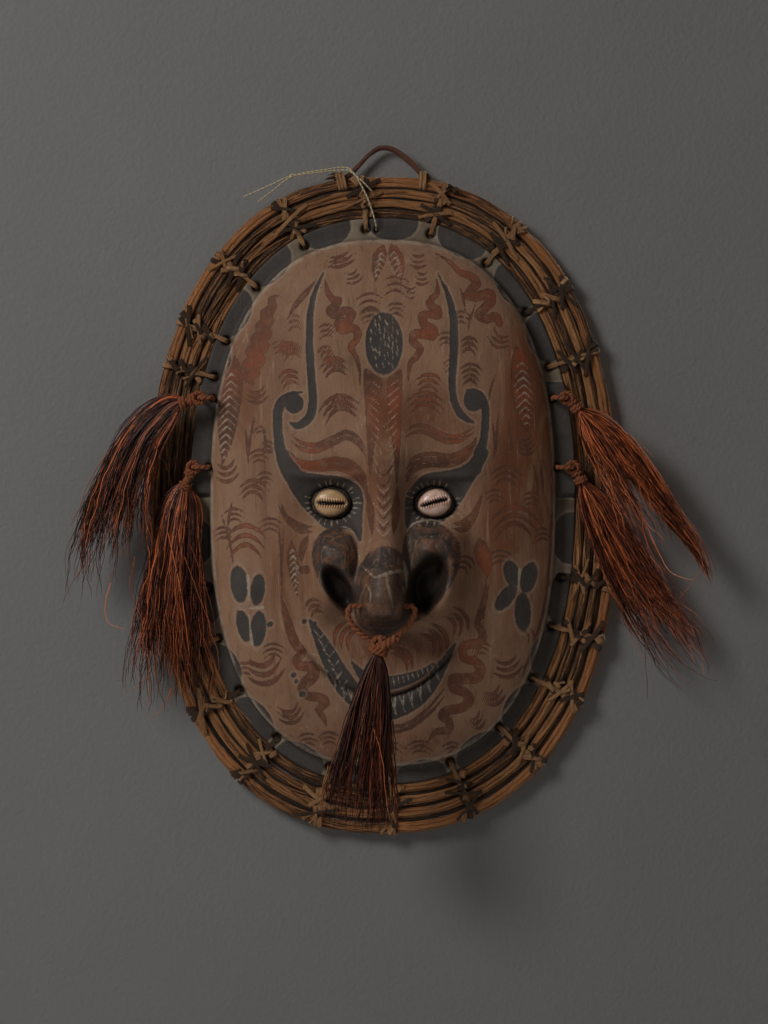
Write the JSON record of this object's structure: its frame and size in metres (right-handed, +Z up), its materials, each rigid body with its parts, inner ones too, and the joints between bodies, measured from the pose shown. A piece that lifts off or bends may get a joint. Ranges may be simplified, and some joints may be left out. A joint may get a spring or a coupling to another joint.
{
  "type": "carved spirit mask",
  "caption": "Oval carved wooden spirit mask to hang on a wall, with a lashed split-cane rim, cowrie eyes, painted scrollwork, a hanging loop and swinging fibre tassels.",
  "frame": {"origin": "the point on the wall where the nail enters, level with the underside of the hanging loop's top", "axes": "+Z up, +Y into the wall, so the painted face looks towards -Y, and +X to the viewer's right"},
  "size_m": [0.4957, 0.1035, 0.5266],
  "materials": {
    "carved_wood": "worn earth pigment, matt",
    "tan_cane": "split cane, satin",
    "bark_cane": "barked cane, satin",
    "dark_cane": "blackened cane, matt",
    "cane_strip": "split cane strip, satin",
    "cowrie": "natural gloss, aged",
    "gum": "blackened tree gum",
    "twine": "thin pale twine",
    "cord": "twisted plant fibre cord",
    "fibre": "dry plant fibre"
  },
  "bodies": {
    "mask": {"mask_board": "carved_wood", "rim_front_cane_1": "tan_cane", "rim_front_cane_2": "tan_cane", "rim_front_cane_3": "tan_cane", "rim_front_cane_4": "bark_cane", "rim_dark_cane_1": "dark_cane", "rim_dark_cane_2": "dark_cane", "rim_dark_cane_3": "dark_cane", "rim_back_cane_1": "tan_cane", "rim_back_cane_2": "tan_cane", "rim_back_cane_3": "tan_cane", "rim_back_cane_4": "tan_cane", "rim_lashing_01": "cane_strip", "rim_lashing_02": "cane_strip", "rim_lashing_03": "cane_strip", "rim_lashing_04": "cane_strip", "rim_lashing_05": "cane_strip", "rim_lashing_06": "cane_strip", "rim_lashing_07": "cane_strip", "rim_lashing_08": "cane_strip", "rim_lashing_09": "cane_strip", "rim_lashing_10": "cane_strip", "rim_lashing_11": "cane_strip", "rim_lashing_12": "cane_strip", "rim_lashing_13": "cane_strip", "rim_lashing_14": "cane_strip", "rim_lashing_15": "cane_strip", "rim_lashing_16": "cane_strip", "rim_lashing_17": "cane_strip", "rim_lashing_18": "cane_strip", "rim_lashing_19": "cane_strip", "rim_lashing_20": "cane_strip", "eye_gum_left": "gum", "eye_cowrie_left": "cowrie", "eye_gum_right": "gum", "eye_cowrie_right": "cowrie", "hanging_loop": "bark_cane", "loop_binding_left": "cane_strip", "loop_binding_right": "cane_strip", "rim_tie_peg": "bark_cane", "string_long": "twine", "string_short": "twine", "string_knot": "twine", "left_upper_cord_loop": "cord", "left_lower_cord_loop": "cord", "right_upper_cord_loop": "cord", "right_lower_cord_loop": "cord"},
    "left_upper_tassel": {"left_upper_knot": "cord", "left_upper_fibres": "fibre"},
    "left_lower_tassel": {"left_lower_knot": "cord", "left_lower_fibres": "fibre"},
    "right_upper_tassel": {"right_upper_knot": "cord", "right_upper_fibres": "fibre"},
    "right_lower_tassel": {"right_lower_knot": "cord", "right_lower_fibres": "fibre"},
    "nose_cord": {"nose_cord_loop": "cord"},
    "nose_tassel": {"nose_knot": "cord", "nose_fibres": "fibre"}
  },
  "joints": [
    {"name": "left_upper_swing", "type": "hinge", "parent": "mask", "child": "left_upper_tassel", "pos_m": [-0.1382, -0.034, -0.19], "axis": [0, 1, 0], "range_deg": [-12, 35]},
    {"name": "left_lower_swing", "type": "hinge", "parent": "mask", "child": "left_lower_tassel", "pos_m": [-0.1435, -0.021, -0.242], "axis": [0, 1, 0], "range_deg": [-3, 30]},
    {"name": "right_upper_swing", "type": "hinge", "parent": "mask", "child": "right_upper_tassel", "pos_m": [0.1382, -0.034, -0.19], "axis": [0, 1, 0], "range_deg": [-20, 33]},
    {"name": "right_lower_swing", "type": "hinge", "parent": "mask", "child": "right_lower_tassel", "pos_m": [0.1435, -0.021, -0.242], "axis": [0, 1, 0], "range_deg": [-20, 26]},
    {"name": "nose_cord_swing", "type": "hinge", "parent": "mask", "child": "nose_cord", "pos_m": [-0.001, -0.084, -0.345], "axis": [1, 0, 0], "range_deg": [-25, 8]},
    {"name": "nose_tassel_swing", "type": "hinge", "parent": "nose_cord", "child": "nose_tassel", "pos_m": [-0.002, -0.0902, -0.373], "axis": [0, 1, 0], "range_deg": [-20, 20]}
  ]
}
